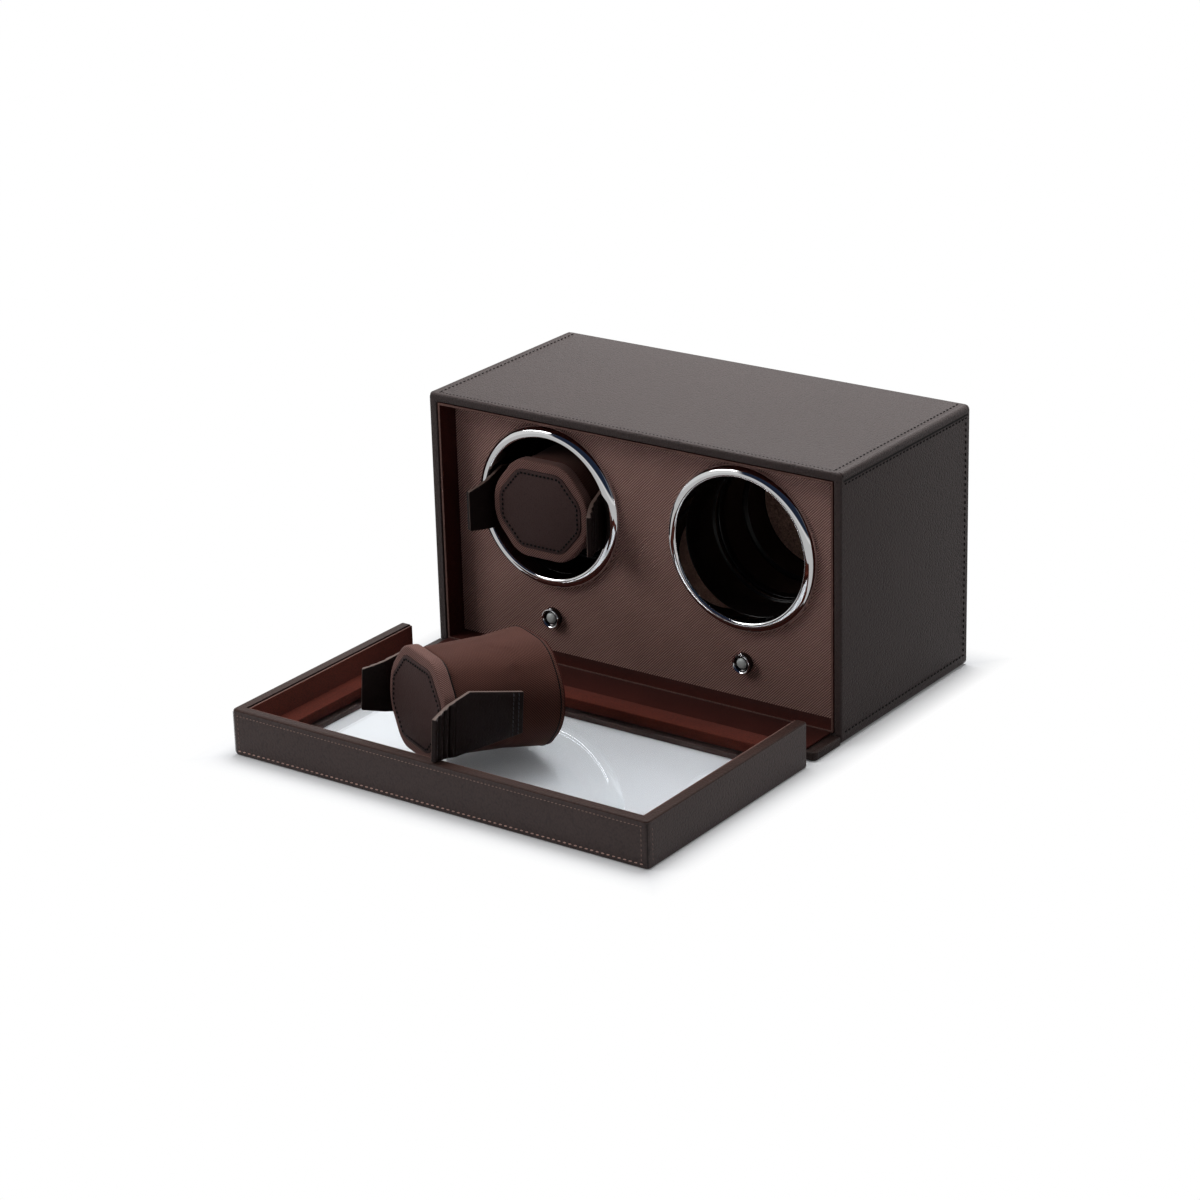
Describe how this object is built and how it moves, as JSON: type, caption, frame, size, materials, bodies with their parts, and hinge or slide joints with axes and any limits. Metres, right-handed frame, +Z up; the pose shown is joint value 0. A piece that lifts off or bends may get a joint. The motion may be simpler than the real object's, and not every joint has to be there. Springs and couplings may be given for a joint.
{
  "type": "watch winder",
  "caption": "Leather covered watch winder with a glazed front lid that opens flat on the table, motor driven drums behind chromed rings, and removable watch cuffs.",
  "frame": {"origin": "middle of the flat underside of the cabinet, on the table that it stands on", "axes": "+Z up, +Y from the open front lid to the cabinet's back, +X to the right as seen from the front"},
  "size_m": [0.27, 0.3159, 0.153],
  "materials": {
    "leather_dark": "pebbled dark grey-brown leatherette, semi-matte",
    "lining_brown": "reddish brown smooth lining, matte",
    "twill_panel": "diagonal weave cloth, soft sheen",
    "cuff_fabric": "reddish brown nubuck cloth over foam, matte",
    "badge_leather": "dark smooth leather, stitched border, semi-matte",
    "wing_leather": "dark smooth leather, stitched, semi-matte",
    "chrome": "polished",
    "black_plastic": "glossy black",
    "gear_plastic": "natural white acetal",
    "glass": "clear float glass",
    "steel": "zinc plated",
    "magnet": "nickel plated",
    "battery": "plain dark wrapper",
    "board": "green solder mask",
    "wood": "stained, matte"
  },
  "bodies": {
    "cabinet": {"cabinet_shell": "leather_dark", "back_panel": "leather_dark", "sill_board": "leather_dark", "sill_pad": "lining_brown", "front_liner": "lining_brown", "face_panel": "twill_panel", "control_board": "board", "battery_cradle": "black_plastic", "battery_spring": "steel", "battery_contact": "steel", "battery_cell_lower": "battery", "battery_cell_upper": "battery", "power_inlet": "black_plastic", "chrome_ring_left": "chrome", "chrome_ring_right": "chrome", "fixed_sleeve_left": "black_plastic", "fixed_sleeve_right": "black_plastic", "drum_axle_left": "steel", "drum_axle_right": "steel", "gear_chassis_left": "black_plastic", "gear_chassis_right": "black_plastic", "gear_motor_left": "steel", "gear_motor_right": "steel", "rotary_switch_left": "black_plastic", "rotary_switch_right": "black_plastic", "catch_magnet_left": "magnet", "catch_magnet_right": "magnet", "hinge_strip_sill": "leather_dark"},
    "lid": {"lid_frame": "leather_dark", "lid_glass": "glass", "glass_retainer": "wood", "lid_lining": "lining_brown", "hinge_strip_lid": "leather_dark", "catch_plate_left": "steel", "catch_plate_right": "steel"},
    "battery_cover": {"battery_door": "black_plastic"},
    "drum_left": {"drum_cup_left": "black_plastic", "drum_lining_left": "lining_brown", "drum_gear_left": "gear_plastic"},
    "drum_right": {"drum_cup_right": "black_plastic", "drum_lining_right": "lining_brown", "drum_gear_right": "gear_plastic"},
    "pinion_left": {"pinion_left": "gear_plastic"},
    "pinion_right": {"pinion_right": "gear_plastic"},
    "knob_left": {"knob_left": "chrome"},
    "knob_right": {"knob_right": "chrome"},
    "cuff_seated": {"cuff_cap_seated": "cuff_fabric", "cuff_badge_seated": "badge_leather", "cuff_barrel_seated": "cuff_fabric"},
    "wing_left_seated": {"cuff_wing_left_seated": "wing_leather"},
    "wing_right_seated": {"cuff_wing_right_seated": "wing_leather"},
    "cuff_loose": {"cuff_cap_loose": "cuff_fabric", "cuff_badge_loose": "badge_leather", "cuff_barrel_loose": "cuff_fabric"},
    "wing_left_loose": {"cuff_wing_left_loose": "wing_leather"},
    "wing_right_loose": {"cuff_wing_right_loose": "wing_leather"}
  },
  "joints": [
    {"name": "lid_hinge", "type": "hinge", "parent": "cabinet", "child": "lid", "pos_m": [0, -0.0938, 0.0008], "axis": [-1, 0, 0], "range_deg": [0, 90]},
    {"name": "battery_door_hinge", "type": "hinge", "parent": "cabinet", "child": "battery_cover", "pos_m": [0, 0.0656, 0.0098], "axis": [-1, 0, 0], "range_deg": [0, 85]},
    {"name": "drum_spin_left", "type": "hinge", "parent": "cabinet", "child": "drum_left", "pos_m": [-0.064, 0.03, 0.0935], "axis": [0, 1, 0], "continuous": true},
    {"name": "drum_spin_right", "type": "hinge", "parent": "cabinet", "child": "drum_right", "pos_m": [0.064, 0.03, 0.0935], "axis": [0, 1, 0], "continuous": true},
    {"name": "pinion_spin_left", "type": "hinge", "parent": "cabinet", "child": "pinion_left", "pos_m": [-0.064, 0.03, 0.0635], "axis": [0, 1, 0], "continuous": true},
    {"name": "pinion_spin_right", "type": "hinge", "parent": "cabinet", "child": "pinion_right", "pos_m": [0.064, 0.03, 0.0635], "axis": [0, 1, 0], "continuous": true},
    {"name": "knob_turn_left", "type": "hinge", "parent": "cabinet", "child": "knob_left", "pos_m": [-0.064, -0.05, 0.0275], "axis": [0, 1, 0], "range_deg": [-60, 60]},
    {"name": "knob_turn_right", "type": "hinge", "parent": "cabinet", "child": "knob_right", "pos_m": [0.064, -0.05, 0.0275], "axis": [0, 1, 0], "range_deg": [-60, 60]},
    {"name": "cuff_pull", "type": "slide", "parent": "drum_left", "child": "cuff_seated", "axis": [0, 1, 0], "range_m": [-0.07, 0]},
    {"name": "wing_left_seated_squeeze", "type": "hinge", "parent": "cuff_seated", "child": "wing_left_seated", "pos_m": [-0.0967, -0.0175, 0.0935], "axis": [0, 0, 1], "range_deg": [0, 2.5], "stiffness_Nm_per_rad": 0.5},
    {"name": "wing_right_seated_squeeze", "type": "hinge", "parent": "cuff_seated", "child": "wing_right_seated", "pos_m": [-0.0313, -0.0175, 0.0935], "axis": [0, 0, -1], "range_deg": [0, 2.5], "stiffness_Nm_per_rad": 0.5},
    {"name": "cuff_lift", "type": "slide", "parent": "cabinet", "child": "cuff_loose", "axis": [0, 0, 1], "range_m": [0, 0.31]},
    {"name": "wing_left_loose_squeeze", "type": "hinge", "parent": "cuff_loose", "child": "wing_left_loose", "pos_m": [-0.04188, -0.16495, 0.03857], "axis": [0.0299, 0.0642, 0.9975], "range_deg": [0, 2.5], "stiffness_Nm_per_rad": 0.5},
    {"name": "wing_right_loose_squeeze", "type": "hinge", "parent": "cuff_loose", "child": "wing_right_loose", "pos_m": [0.0174, -0.19259, 0.03857], "axis": [-0.0299, -0.0642, -0.9975], "range_deg": [0, 2.5], "stiffness_Nm_per_rad": 0.5}
  ],
  "couplings": [
    {"joint": "pinion_spin_left", "follows": "drum_spin_left", "ratio": -4},
    {"joint": "pinion_spin_right", "follows": "drum_spin_right", "ratio": -4},
    {"joint": "cuff_lift", "follows": "lid_hinge", "m_per_rad": 0.19}
  ]
}
